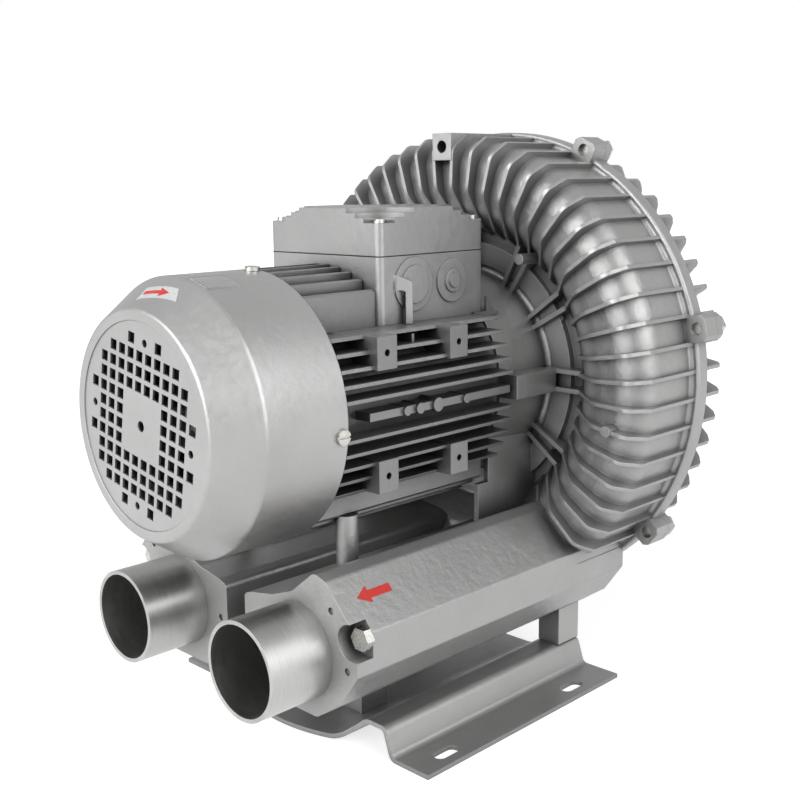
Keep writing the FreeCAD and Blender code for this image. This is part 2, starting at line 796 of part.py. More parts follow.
def lug(degrees, y0, y1):
    """Screw lug on the flange, with its outer corners cut off."""
    r_in, r_out = lug_circle_r - lug_in, lug_circle_r + lug_out
    corners = [(r_in, shaft_height - lug_half, 0), (r_out - lug_chamfer, shaft_height - lug_half, 0),
               (r_out, shaft_height - lug_half + lug_chamfer, 0),
               (r_out, shaft_height + lug_half - lug_chamfer, 0),
               (r_out - lug_chamfer, shaft_height + lug_half, 0), (r_in, shaft_height + lug_half, 0)]
    return round_shaft(prism(corners, y0, y1), degrees)


def foot_corners():
    """Outline of a silencer seen from the front, shared by the foot of the housing behind it."""
    return [(inner_side_x, 62, 6), (inner_side_x, 101, 4), (17.5, 103.5, 4), (37, 107, 10), (56, 114, 12),
            (76, 130, 6), (86, 127, 5), (outer_side_x, 100, 2), (outer_side_x, 76, 3), (97, 55, 5),
            (76, silencer_floor, 8), (33, silencer_floor, 8)]


def rear_foot():
    return block(foot_block_x0, foot_block_x1, bracket_rear - foot_block_length, bracket_rear,
                 crest_top, silencer_floor + 8)


def front_feet():
    """Blocks between the middle web and the silencers, shaped to the silencer's underside."""
    y0 = bracket_front + front_foot_start
    foot = block(front_foot_x0, front_foot_x1, y0, y0 + foot_block_length, web_top, silencer_floor + 16)
    foot = foot.cut(prism(foot_corners(), y0 - 1, y0 + foot_block_length + 1))
    hole = post(bracket_bolt_r + seat_gap, 0, silencer_floor + 16, front_bolt_x, front_bolt_y)
    return both_sides(foot.cut(hole).Solids[0])


def front_housing():
    body = turned_shape([
        (drive_bearing_outer_r, seat_front, 0), (hub_r, seat_front, 1), (hub_r, disc_face + 4, 4),
        (bell_r1 - bell_wall, disc_face + 4, 4), (bell_r0 - bell_wall, frame_rear + 8, 1),
        (frame_bore_r - 4, frame_rear + 4, 0), (frame_bore_r - 4, frame_rear - spigot_length, 0),
        (frame_bore_r - seat_gap, frame_rear - spigot_length, 0), (frame_bore_r - seat_gap, frame_rear, 0),
        (bell_r0, frame_rear, 0), (bell_r1, disc_face, 4), (ring_r0, disc_face, 0),
        (ring_r0, disc_face - ring_rise, 0), (ring_r1, disc_face - ring_rise, 0),
        (ring_r1, disc_face + groove_deep, 0), (torus_r0, disc_face + groove_deep, 2),
        (120, disc_face - torus_rise, 26), (torus_r1, disc_face - torus_rise, 20),
        (torus_r1, joint - flange_thick, 3), (flange_r, joint - flange_thick, 2), (flange_r, joint, 0),
        (chamber_r, joint, 0)]
        + channel_corners(chamber_front, chamber_front - channel_r)[::-1]
        + [(seal_r, chamber_front, 0), (seal_r, seal_front, 0), (shaft_mid_r + 1, seal_front, 0),
           (shaft_mid_r + 1, seat_rear + 3, 0), (drive_bearing_outer_r - 4, seat_rear + 3, 0),
           (drive_bearing_outer_r - 4, seat_rear, 0), (drive_bearing_outer_r, seat_rear, 0)])
    extras = front_fins() + [pair_fin(a) for a in pair_angles()]
    extras += [lug(a, joint - flange_thick - lug_ahead, joint) for a in lug_angles()]
    extras += foot_of_housing()
    arm = block(bell_r0 - 4, arm_reach, frame_rear, frame_rear + arm_length,
                shaft_height - arm_half, shaft_height + arm_half)
    for z in (shaft_height - arm_half, shaft_height + arm_half - pair_fin_thick):
        rib = block(arm_reach - 8, torus_r0 + 6, disc_face - pair_fin_rise, disc_face + 4, z,
                    z + pair_fin_thick)
        extras += both_sides(rib)
    extras += both_sides(arm) + aprons()
    for radius, degrees, ahead in peg_places:
        peg = rod(peg_r, disc_face - fin_front - 0.5 + ahead, disc_face + 2, radius)
        extras.append(round_shaft(peg, degrees))
    extras.append(block(-lift_wide / 2, lift_wide / 2, disc_face - lift_front, joint - 2,
                        shaft_height + lift_bottom, shaft_height + lift_top))
    body = joined(body, extras)
    for hollow in hollows_of_housing():
        body = body.cut(hollow)
    return joined(body, [stripper(chamber_front, chamber_front - channel_r - 1)])


def aprons():
    """Two walls under the bell that reach forwards a little under the motor frame."""
    low = block(apron_x0, apron_x1, frame_rear - apron_ahead, disc_face + 2, apron_bottom, apron_top)
    high = block(apron_x0, apron_x1, frame_rear + 1, disc_face + 2, apron_top - 1,
                 shaft_height - math.sqrt(bell_r0 ** 2 - apron_x1 ** 2) + 3)
    return both_sides(low.fuse(high))


def foot_of_housing():
    """Skirt that carries the silencers' outline back to the flange, and the blocks under it."""
    skirt = prism(foot_corners(), silencer_join, joint - flange_thick + 3)
    bridge = block(-inner_side_x - 2, inner_side_x + 2, disc_face - 6, joint - flange_thick + 3, 66, 96)
    return both_sides(skirt) + both_sides(rear_foot()) + [bridge]


def hollows_of_housing():
    """Everything cut from the joined casting: chamber, channel, bell, ports, tapped holes."""
    cuts = [turned_shape(channel_corners(chamber_front + 1, chamber_front - channel_r)),
            rod(chamber_r, chamber_front, joint + 5),
            rod(bell_r0 - bell_wall, frame_rear + 8, disc_face).cut(rod(hub_r, frame_rear, disc_face + 1))]
    for sign in (1, -1):
        cuts.append(rod(port_r, silencer_join - 1, chamber_front, sign * port_x, port_z))
        cuts.append(rod(silencer_bolt_r + seat_gap, silencer_join - 1, silencer_join + silencer_bolt_grip + 2,
                        sign * pocket_x, pocket_z))
        cuts.append(post(bracket_bolt_r + seat_gap, crest_top - 1, crest_top + bracket_bolt_length,
                         sign * rear_bolt_x, rear_bolt_y))
    for a in lug_angles():
        x, z = lug_centre(a)
        cuts.append(rod(screw_r + seat_gap, joint - flange_thick - lug_ahead - 1, joint + 1, x, z))
    cuts.append(rod(lift_hole_r, disc_face - lift_front - 1, disc_face - lift_front + lift_hole_deep,
                    0, shaft_height + (lift_top + lift_bottom) / 2))
    return cuts


def stripper(y_open, y_deep):
    """Wall that closes the channel between the outlet and the inlet."""
    corners = channel_corners(y_open, y_deep)
    return round_shaft(turned_shape(corners, 2 * stripper_half_angle), -90.0 + stripper_half_angle)


def seal():
    return ring(seal_r, shaft_end_r + race_gap, seal_front, seal_front + seal_wide)


def housing_gasket():
    flat = ring(cover_flange_r, chamber_r, joint, joint + gasket_thick)
    ears = [lug(a, joint, joint + gasket_thick) for a in lug_angles()]
    holes = []
    for a in lug_angles():
        x, z = lug_centre(a)
        holes.append(rod(screw_r + seat_gap, joint - 1, joint + 2, x, z))
    return joined(flat, ears).cut(Part.makeCompound(holes)).cut(rod(chamber_r, joint - 1, joint + 2))


def cover_fin(degrees):
    y0, y1 = cover_front, overall_length
    return radial_plate([
        (torus_r0 - 4, y1 - 26, 0), (torus_r0 - 2, y1 - 7, 3), (torus_r0 + 6, y1, 4), (131, y1, 8),
        (158, y0 + 33, 6), (cover_fin_r, y0 + 24, 4), (cover_fin_r, y0 + cover_flange - 1, 0),
        (cover_torus_r1 - 4, y0 + cover_flange - 1, 0), (cover_torus_r1 - 5, y0 + 14, 0),
        (142, y1 - 26, 0)], fin_thick, degrees)


def rear_cover():
    y0, y1 = cover_front, overall_length
    deep = chamber_rear + channel_r
    body = turned_shape([
        (0, y0 + cover_pocket, 0), (cover_pocket_r, y0 + cover_pocket, 2), (cover_pocket_r, chamber_rear, 0)]
        + channel_corners(chamber_rear, deep)
        + [(chamber_r, y0, 0), (cover_flange_r, y0, 0), (cover_flange_r, y0 + cover_flange, 1),
           (cover_torus_r1, y0 + cover_flange, 2), (cover_torus_r1, deep + cover_wall, 26),
           (torus_r0 + 6, deep + cover_wall, 20), (torus_r0 - 6, y0 + 19, 6),
           (cover_hub_r + 3, y0 + 19, 5), (cover_hub_r, y0 + 26, 3), (0, y0 + 26, 0)])
    extras = [cover_fin(90.0 + 360.0 / fin_count * (k + 0.5)) for k in range(fin_count)]
    extras += [lug(a, y0, y0 + cover_flange) for a in lug_angles()]
    spoke = [(cover_hub_r - 4, y0 + 16, 0), (torus_r0 + 4, y0 + 16, 0), (torus_r0 + 4, y0 + 30, 0),
             (cover_hub_r - 4, y0 + 25, 0)]
    extras += [radial_plate(spoke, fin_thick, 360.0 / spoke_count * k) for k in range(spoke_count)]
    body = joined(body, extras)
    cuts = []
    seat = y0 + cover_flange
    for a in lug_angles():
        x, z = lug_centre(a)
        cuts.append(rod(screw_r + seat_gap, y0 - 1, seat + 1, x, z))
        cuts.append(rod(screw_head_r + 2 * seat_gap, seat, seat + screw_head + 1, x, z))
    body = body.cut(Part.makeCompound(cuts))
    return joined(body, [stripper(chamber_rear, deep + 1)])


def housing_screws():
    screws = []
    top = cover_front + cover_flange
    for a in lug_angles():
        x, z = lug_centre(a)
        screws.append(rod(screw_r, joint - flange_thick - lug_ahead + 4, top, x, z)
                      .fuse(hexagon(screw_head_r, top, top + screw_head, x, z)))
    return screws


# Impeller

def impeller():
    y0, y1 = impeller_front, impeller_rear
    middle = (y0 + y1) / 2
    disc = ring(blade_root_r, impeller_hub_r - 2, middle - impeller_disc / 2, middle + impeller_disc / 2)
    hub = rod(impeller_hub_r, y0 + 1, y1 - 1)
    rim = ring(blade_root_r + 1, blade_root_r - 7, y0, y1)
    web = ring(impeller_tip_r, blade_root_r, middle - blade_web / 2, middle + blade_web / 2)
    blades = [radial_plate([(blade_root_r - 2, y0, 0), (impeller_tip_r, y0, 0), (impeller_tip_r, y1, 0),
                            (blade_root_r - 2, y1, 0)], blade_thick, 360.0 / blade_count * k)
              for k in range(blade_count)]
    body = joined(hub, [disc, rim, web] + blades)
    return body.cut(rod(shaft_end_r, y0 - 1, y1 + 1)).cut(key_block(seat_gap))


def impeller_washer():
    return ring(end_washer_r, end_bolt_r + seat_gap, impeller_rear - 1, impeller_rear - 1 + end_washer)


def impeller_bolt():
    seat = impeller_rear - 1 + end_washer
    return rod(end_bolt_r, impeller_rear - end_bolt_length, seat).fuse(
        hexagon(end_bolt_head_r, seat, seat + end_bolt_head, 0, shaft_height))


# Silencers, pipes and what holds them

def silencer():
    """Right-hand silencer; the left-hand one is its mirror image."""
    front, rear = silencer_front, silencer_join
    body = prism(foot_corners(), front, rear)
    cavity_r = pipe_z - silencer_floor - silencer_wall
    socket = rod(pipe_r - pipe_step + seat_gap, front - 1, front + pipe_socket, pipe_x, pipe_z)
    throat = rod(pipe_r - pipe_wall, front, front + pipe_socket + 6, pipe_x, pipe_z)
    cavity = rod(cavity_r, front + pipe_socket + 5, rear - 6, pipe_x, pipe_z)
    port = rod(port_r, rear - 8, rear + 1, port_x, port_z)
    pocket = rod(pocket_r, front - 1, front + pocket_deep, pocket_x, pocket_z).fuse(
        block(pocket_x, outer_side_x + 5, front - 1, front + pocket_deep,
              pocket_z - pocket_r, pocket_z + 2 * pocket_r))
    dimples = [rod(dimple_r, front - 1, front + dimple_deep, x, z) for x, z in dimple_places]
    through = rod(silencer_bolt_r + seat_gap, front, rear + 1, pocket_x, pocket_z)
    foot_hole = post(bracket_bolt_r + seat_gap, trough_z, web_top + front_bolt_length + bolt_end_gap,
                     front_bolt_x, front_bolt_y)
    for hollow in [socket, throat, cavity, port, pocket, through, foot_hole] + dimples:
        body = body.cut(hollow)
    return body


def silencer_bolts():
    """Long bolts that hold the silencers to the housing, heads in the front pockets."""
    face = silencer_front + pocket_deep
    bolt = rod(silencer_bolt_r, face, silencer_join + silencer_bolt_grip, pocket_x, pocket_z).fuse(
        hexagon(silencer_bolt_head_r, face - silencer_bolt_head, face, pocket_x, pocket_z))
    return both_sides(bolt)


def foam_sleeve():
    outer = pipe_z - silencer_floor - silencer_wall - sleeve_clear
    return ring(outer, outer - sleeve_thick, silencer_front + pipe_socket + 5.5, silencer_join - 6.5,
                pipe_x, pipe_z)


def hose_pipe():
    """Tube with a hose length outside and a turned-down end that is glued in the silencer's socket."""
    outside = rod(pipe_r, pipe_front, silencer_front, pipe_x, pipe_z)
    inside = rod(pipe_r - pipe_step, silencer_front, silencer_front + pipe_socket, pipe_x, pipe_z)
    return outside.fuse(inside).cut(rod(pipe_r - pipe_wall, pipe_front - 1, silencer_front + pipe_socket + 1,
                                        pipe_x, pipe_z))


def support_pillars():
    """Round posts that steady the motor on the silencers."""
    pillar = post(pillar_r, 104, pillar_top_z, pillar_x, pillar_y)
    pillar = pillar.cut(prism(foot_corners(), pillar_y - 20, pillar_y + 20))
    pillar = pillar.cut(rod(cowl_r, pillar_y - 20, pillar_y + 20))
    return both_sides(pillar)


# Base bracket

def bracket_corners():
    """Right half of the bent sheet's section, drawn as a closed band, from the middle outwards."""
    top = crest_top
    outer = [(0, trough_z + sheet, 0), (trough_x, trough_z + sheet, 20), (crest_x0, top, 12),
             (crest_x1, top, 6), (riser_x + 1.5, sheet, bend_r), (bracket_half, sheet, 0)]
    inner = [(bracket_half, 0, 0), (riser_x - 1.5, 0, bend_r + sheet - 0.5), (crest_x1 - 3, top - sheet, 3),
             (crest_x0 + 1, top - sheet, 10), (trough_x + 1, trough_z, 20), (0, trough_z, 0)]
    return outer + inner


def base_bracket():
    half = prism(bracket_corners(), bracket_front - bracket_bulge, bracket_rear)
    body = half.fuse(mirrored(half))
    plan = [Vector(-bracket_half - 1, bracket_front, -5), Vector(-trough_x - 10, bracket_front, -5),
            Vector(0, bracket_front - bracket_bulge, -5), Vector(trough_x + 10, bracket_front, -5),
            Vector(bracket_half + 1, bracket_front, -5)]
    edges = [Part.LineSegment(plan[0], plan[1]).toShape(), Part.Arc(plan[1], plan[2], plan[3]).toShape(),
             Part.LineSegment(plan[3], plan[4]).toShape()]
    far = [Vector(bracket_half + 1, bracket_rear + 1, -5), Vector(-bracket_half - 1, bracket_rear + 1, -5)]
    edges += [Part.LineSegment(plan[4], far[0]).toShape(), Part.LineSegment(far[0], far[1]).toShape(),
              Part.LineSegment(far[1], plan[0]).toShape()]
    body = body.common(Part.Face(Part.Wire(edges)).extrude(Vector(0, 0, 60)))
    cuts = []
    for sign in (1, -1):
        for y in (bracket_front + slot_near, bracket_front + slot_near + slot_pitch):
            run = slot_long / 2 - slot_half_wide
            x = sign * slot_x
            cuts += [block(x - slot_half_wide, x + slot_half_wide, y - run, y + run, -1, 10),
                     post(slot_half_wide, -1, 10, x, y - run), post(slot_half_wide, -1, 10, x, y + run)]
        cuts.append(countersunk_hole(sign * rear_bolt_x, rear_bolt_y, crest_top - sheet))
        cuts.append(countersunk_hole(sign * front_bolt_x, front_bolt_y, trough_z))
    for cut in cuts:
        body = body.cut(cut)
    return body


def countersunk(x, y, under, length, extra=0.0):
    """Screw from below with its head flush in the sheet whose underside is at under."""
    head = Part.makeCone(bracket_bolt_head_r + extra, bracket_bolt_r + extra, sheet, Vector(x, y, under))
    return head.fuse(post(bracket_bolt_r + extra, under, under + sheet + length, x, y))


def countersunk_hole(x, y, under):
    """The screw's hole in the sheet, open below where the sheet bends away from it."""
    below = post(bracket_bolt_head_r + seat_gap, under - sheet, under, x, y)
    return countersunk(x, y, under, 1, seat_gap).fuse(below)


def bracket_bolts():
    """Screws through the crests into the rear feet, and through the web and the front feet."""
    rear = countersunk(rear_bolt_x, rear_bolt_y, crest_top - sheet, bracket_bolt_length - bolt_end_gap)
    front = countersunk(front_bolt_x, front_bolt_y, trough_z, front_bolt_length)
    return both_sides(rear) + both_sides(front)


# Terminal box

def box_screw_places():
    inset = box_screw_inset
    return [(sx * (box_half - inset), y) for sx in (1, -1) for y in (box_front + inset, frame_rear - inset)]


def lid_screw_places():
    return [(sx * (box_half - lid_screw_inset), y) for sx in (1, -1)
            for y in (box_front + lid_screw_inset, box_rear - lid_screw_inset)]


def box_shell(z0, z1):
    """Block with rounded upright edges, the outline that the box and its lid share."""
    shell = block(-box_half, box_half, box_front, box_rear, z0, z1)
    upright = [edge for edge in shell.Edges if abs(edge.BoundBox.ZLength - (z1 - z0)) < 0.01]
    return shell.makeFillet(box_corner, upright)


def box_hollow(z0, z1):
    return block(-box_half + box_wall, box_half - box_wall, box_front + box_wall, box_rear - box_wall, z0, z1)


def corner_posts(z0, z1):
    """Round posts for the lid screws, trimmed to the outline of the box."""
    outer = block(-box_half, box_half, box_front, box_rear, z0, z1)
    return [post(box_post_r, z0, z1, x, y).common(outer) for x, y in lid_screw_places()]


def wedge_of_box(z0):
    """Moulded wedge on the side, its top sloped down outwards, with an arched pocket in its front."""
    y0, y1 = box_front + gland_wedge[0], box_front + gland_wedge[1]
    out, top = box_half + gland_wedge_out, z0 + gland_wedge_tall
    plan = Part.makePolygon([Vector(box_half - 1, y0, z0), Vector(out, y1, z0), Vector(box_half - 1, y1, z0),
                             Vector(box_half - 1, y0, z0)])
    body = Part.Face(plan).extrude(Vector(0, 0, gland_wedge_tall))
    above = prism([(box_half, top, 0), (out + 1, top - gland_wedge_drop, 0), (out + 1, top + 5, 0),
                   (box_half, top + 5, 0)], y0 - 1, y1 + 1)
    arch = gland_pocket_out / 2 - 0.1
    pocket = prism([(box_half, z0 - 1, 0), (box_half, z0 + gland_pocket_tall, arch),
                    (box_half + gland_pocket_out, z0 + gland_pocket_tall, arch),
                    (box_half + gland_pocket_out, z0 - 1, 0)], y0 - 1, y1 - 1.5)
    return body.cut(above).cut(pocket)


def terminal_box_base():
    """Box with its floor on the saddle and a skirt round it down to the platform."""
    z0, z1 = shaft_height + platform_top, box_join
    shell = box_shell(z0, z1).cut(box_hollow(z0 - 1, box_floor - box_wall)).cut(box_hollow(box_floor, z1 + 1))
    shell = shell.cut(rod(frame_tube_r + seat_gap, box_front - 1, frame_rear))
    shell = shell.cut(rod(bell_r1 + 2 * bell_clear, frame_rear - seat_gap, box_rear + 1))
    shell = joined(shell, corner_posts(box_floor - 1, z1))
    extras = [wedge_of_box(z0)]
    for place, radii in knock_outs:
        y, z = box_front + place, z0 + knock_out_up
        for k, radius in enumerate(radii):
            proud = knock_out_proud * (k + 1)
            extras.append(Part.makeCylinder(radius, proud + 1, Vector(box_half - 1, y, z), Vector(1, 0, 0)))
    shell = joined(shell, extras)
    low = z1 - lid_screw_deep - 1
    cuts = [post(lid_screw_r + seat_gap, low, z1 + 1, x, y) for x, y in lid_screw_places()]
    cuts += [post(box_screw_r + seat_gap, z0, box_floor + 1, x, y) for x, y in box_screw_places()]
    cuts.append(post(wire_hole_r, z0, box_floor + 1, 0, box_front + wire_hole_inset))
    return shell.cut(Part.makeCompound(cuts))


def box_screws():
    return [post(box_screw_r, box_floor - box_wall - box_screw_deep, box_floor, x, y)
            .fuse(post(box_screw_head_r, box_floor, box_floor + box_screw_head, x, y))
            for x, y in box_screw_places()]


def lid_gasket_ring():
    z0, z1 = box_join, box_join + lid_gasket
    outer = block(-box_half + 1, box_half - 1, box_front + 1, box_rear - 1, z0, z1)
    body = joined(outer.cut(box_hollow(z0 - 1, z1 + 1)), corner_posts(z0, z1))
    holes = [post(lid_screw_r + seat_gap, z0 - 1, z1 + 1, x, y) for x, y in lid_screw_places()]
    return body.cut(Part.makeCompound(holes))


def terminal_box_lid():
    """Lid with a raised crown, stepped down in quarter rounds to the screws at its corners."""
    z0 = box_join + lid_gasket
    z1 = z0 + box_lid_tall
    shell = box_shell(z0, z1)
    drop = (box_lid_tall - box_lid_corner) / len(lid_step_radii)
    for x, y in [(sx * box_half, y) for sx in (1, -1) for y in (box_front, box_rear)]:
        for level, radius in enumerate(lid_step_radii):
            shell = shell.cut(post(radius, z1 - drop * (level + 1), z1 + 1, x, y))
    crown = max(lid_step_radii)
    upper = block(-box_half + crown, box_half - crown, box_front + box_wall, box_rear - box_wall, z0,
                  z1 - box_wall)
    shell = shell.cut(box_hollow(z0 - 1, z0 + box_lid_corner - box_wall).fuse(upper))
    shell = joined(shell, corner_posts(z0, z0 + box_lid_corner - 1))
    cuts = [post(lid_screw_r + seat_gap, z0 - 1, z1, x, y) for x, y in lid_screw_places()]
    return shell.cut(Part.makeCompound(cuts))


def lid_screws():
    z = box_join + lid_gasket + box_lid_corner
    screws = []
    for x, y in lid_screw_places():
        head = post(lid_screw_head_r, z, z + lid_screw_head, x, y).cut(
            block(x - 0.6, x + 0.6, y - 5, y + 5, z + lid_screw_head - 1, z + lid_screw_head + 1))
        screws.append(post(lid_screw_r, box_join - lid_screw_deep, z, x, y).fuse(head))
    return screws


def stud_places():
    y = box_front + block_start + block_deep / 2
    return [(k * stud_pitch, y + side * stud_row) for k in (-1, 0, 1) for side in (-1, 1)]


def terminal_block():
    """Moulded block, hollow below, with two rows of three holes for the studs."""
    y0, y1, z1 = box_front + block_start, box_front + block_start + block_deep, box_floor + block_tall
    body = block(-block_wide / 2, block_wide / 2, y0, y1, box_floor, z1)
    body = body.cut(block(-block_wide / 2 + block_wall, block_wide / 2 - block_wall, y0 + block_wall,
                          y1 - block_wall, box_floor - 1, z1 - stud_hold))
    holes = [post(stud_r + seat_gap, box_floor, z1 + 1, x, y) for x, y in stud_places()]
    return body.cut(Part.makeCompound(holes))


def terminal_studs():
    z = box_floor + block_tall
    return [post(stud_r, z - stud_hold, z + stud_up, x, y).fuse(post(stud_nut_r, z, z + stud_nut, x, y))
            for x, y in stud_places()]


def main():
    os.makedirs("parts", exist_ok=True)
    save("fan_cowl", fan_cowl())
    save("cowl_screws", [cowl_screw(a) for a in cowl_screw_angles()])
    save("cooling_fan", cooling_fan())
    save("fan_clip", fan_clip())
    save("fan_end_shield", fan_end_shield())
    save("wave_washer", wave_washer())
    for name, bore_r, outer_r, y0, wide in (
            ("fan_bearing", fan_bearing_r, fan_bearing_outer_r, fan_bearing_front, fan_bearing_wide),
            ("drive_bearing", drive_bearing_r, drive_bearing_outer_r, seat_front, drive_bearing_wide)):
        outer, inner, balls = bearing(bore_r, outer_r, y0, wide)
        save(name + "_outer_race", outer)
        save(name + "_inner_race", inner)
        save(name + "_balls", balls)
        save(name + "_cage", bearing_cage(bore_r, outer_r, y0, wide))
    save("motor_frame", motor_frame())
    save("stator_core", stator_core())
    save("stator_windings", stator_windings())
    save("rotor_core", rotor_core())
    save("motor_shaft", motor_shaft())
    save("front_housing", front_housing())
    save("shaft_seal", seal())
    save("housing_gasket", housing_gasket())
    save("rear_cover", rear_cover())
    save("housing_screws", housing_screws())
    save("impeller", impeller())
    save("impeller_key", key_block())
    save("impeller_washer", impeller_washer())
    save("impeller_bolt", impeller_bolt())
    right = silencer()
    save("outlet_silencer", right)
    save("inlet_silencer", mirrored(right))
    save("outlet_pipe", hose_pipe())
    save("inlet_pipe", mirrored(hose_pipe()))
    save("outlet_foam_sleeve", foam_sleeve())
    save("inlet_foam_sleeve", mirrored(foam_sleeve()))
    save("silencer_bolts", silencer_bolts())
    save("support_pillars", support_pillars())
    save("front_feet", front_feet())
    save("base_bracket", base_bracket())
    save("bracket_bolts", bracket_bolts())
    save("terminal_box_base", terminal_box_base())
    save("box_screws", box_screws())
    save("lid_gasket", lid_gasket_ring())
    save("terminal_box_lid", terminal_box_lid())
    save("lid_screws", lid_screws())
    save("terminal_block", terminal_block())
    save("terminal_studs", terminal_studs())


main()
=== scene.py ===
"""Looks of the side-channel vacuum blower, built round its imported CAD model.

Metres. +X is right seen from the fan cowl, the cowl and the hose pipes face -Y, +Z is up, and the floor
is z = 0. Every casting, sheet and fastener is the CAD's own; this script gives them their materials and
adds the labels, the plate and the fine marks that a casting carries.
"""

import json
import math

import bmesh
import bpy
from mathutils import Matrix, Vector


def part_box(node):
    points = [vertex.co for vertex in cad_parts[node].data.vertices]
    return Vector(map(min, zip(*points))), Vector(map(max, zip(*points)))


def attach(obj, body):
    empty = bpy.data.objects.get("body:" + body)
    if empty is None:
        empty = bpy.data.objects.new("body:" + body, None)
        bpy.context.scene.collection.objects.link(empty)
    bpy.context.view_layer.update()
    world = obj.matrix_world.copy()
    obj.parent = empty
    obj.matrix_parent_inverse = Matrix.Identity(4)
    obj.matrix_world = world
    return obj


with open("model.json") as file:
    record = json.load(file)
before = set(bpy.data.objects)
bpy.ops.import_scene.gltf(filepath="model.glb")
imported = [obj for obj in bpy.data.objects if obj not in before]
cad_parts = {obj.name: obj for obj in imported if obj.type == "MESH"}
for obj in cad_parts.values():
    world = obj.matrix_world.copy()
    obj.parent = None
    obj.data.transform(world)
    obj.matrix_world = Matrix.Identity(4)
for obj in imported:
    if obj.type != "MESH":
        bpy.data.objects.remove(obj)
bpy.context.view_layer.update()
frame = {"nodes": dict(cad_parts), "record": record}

MM = 0.001

# Camera
CAMERA_PLACE = (0.55375, -0.53508, 0.35190)
CAMERA_YAW = 45.1047
CAMERA_PITCH = 10.9968
CAMERA_ROLL = -0.7031
CAMERA_LENS = 51.14

# Light
WORLD_FILL = 0.16
WORLD_SEEN = 1.0
WORLD_MIRRORED = 0.6
FLOOR_SEEN = 0.62
FLOOR_GLOW = 0.72
FLOOR_BOUNCE = 0.05
KEY_STRENGTH = 3.5
KEY_SPREAD = 70
KEY_FROM = (-0.10, -0.92, 0.34)
SIDE_STRENGTH = 2.0
SIDE_SPREAD = 60
SIDE_FROM = (0.88, 0.12, 0.45)

# Places taken from the CAD
SHAFT_HEIGHT = 215 * MM
COWL_R = 84.4 * MM
COWL_RIM_R = 67.5 * MM
COWL_CONE = 25.7 * MM
COWL_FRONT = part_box("fan_cowl")[0][1]


# Labels and plates: thicknesses, and the gap below each
SEAT = 0.02 * MM
PRINT_THICK = 0.1 * MM
LABEL_THICK = 0.12 * MM
PRINT_OVER_LABEL = 0.16 * MM
PLATE_THICK = 0.35 * MM
BORDER_THICK = 0.15 * MM

# Paint: how far the painted shade in a hollow reaches, and the noise scales of its marks
PAINTED_SHADE_REACH = 25 * MM
CLOUD_SCALE = 22
FLAKE_SCALE = 2600
SHEEN_SCALE = 260
FINE_GRAIN_SCALE = 1500
COARSE_GRAIN_SCALE = 170


# Materials

class Shader:
    """A new node material with short calls for the nodes that the finishes below share."""

    def __init__(self, name, color, metallic, roughness):
        self.material = bpy.data.materials.new(name)
        self.material.use_nodes = True
        self.nodes = self.material.node_tree.nodes
        self.links = self.material.node_tree.links
        self.surface = self.nodes["Principled BSDF"]
        self.surface.inputs["Base Color"].default_value = (*color, 1)
        self.surface.inputs["Metallic"].default_value = metallic
        self.surface.inputs["Roughness"].default_value = roughness
        self.place = self.nodes.new("ShaderNodeTexCoord").outputs["Object"]

    def stretched(self, scale):
        mapping = self.nodes.new("ShaderNodeMapping")
        mapping.inputs["Scale"].default_value = scale
        self.links.new(self.place, mapping.inputs["Vector"])
        return mapping.outputs["Vector"]

    def noise(self, scale, detail=3.0, vector=None, roughness=0.55):
        node = self.nodes.new("ShaderNodeTexNoise")
        node.inputs["Scale"].default_value = scale
        node.inputs["Detail"].default_value = detail
        node.inputs["Roughness"].default_value = roughness
        self.links.new(vector or self.place, node.inputs["Vector"])
        return node.outputs["Fac"]

    def remap(self, value, low, high, source_low=0.3, source_high=0.7):
        node = self.nodes.new("ShaderNodeMapRange")
        node.inputs["From Min"].default_value = source_low
        node.inputs["From Max"].default_value = source_high
        node.inputs["To Min"].default_value = low
        node.inputs["To Max"].default_value = high
        self.links.new(value, node.inputs["Value"])
        return node.outputs["Result"]

    def mixed(self, factor, first, second):
        """Colour that runs from first to second with factor; either may be a colour or an output."""
        node = self.nodes.new("ShaderNodeMix")
        node.data_type = "RGBA"
        self.links.new(factor, node.inputs[0])
        for socket, value in ((node.inputs[6], first), (node.inputs[7], second)):
            if isinstance(value, tuple):
                socket.default_value = (*value, 1)
            else:
                self.links.new(value, socket)
        return node.outputs[2]

    def color(self, output):
        self.links.new(output, self.surface.inputs["Base Color"])

    def roughness(self, output):
        self.links.new(output, self.surface.inputs["Roughness"])

    def painted_shade_openness(self, reach):
        """1 on open faces, down to 0 in hollows narrower than the reach; used to paint shade into hollows.
        """
        node = self.nodes.new("ShaderNodeAmbientOcclusion")
        node.samples = 6
        node.inputs["Distance"].default_value = reach
        return node.outputs["AO"]

    def rounded_edges(self, radius):
        """Normal that rounds every sharp edge by the radius, as casting and paint do."""
        node = self.nodes.new("ShaderNodeBevel")
        node.samples = 4
        node.inputs["Radius"].default_value = radius
        return node.outputs["Normal"]

    def bump(self, height, distance, strength=1.0, normal=None):
        node = self.nodes.new("ShaderNodeBump")
        node.inputs["Distance"].default_value = distance
        node.inputs["Strength"].default_value = strength
        self.links.new(height, node.inputs["Height"])
        if normal is not None:
            self.links.new(normal, node.inputs["Normal"])
        return node.outputs["Normal"]

    def normal(self, output):
        self.links.new(output, self.surface.inputs["Normal"])


def tinted(color, factor):
    return tuple(min(1.0, channel * factor) for channel in color)


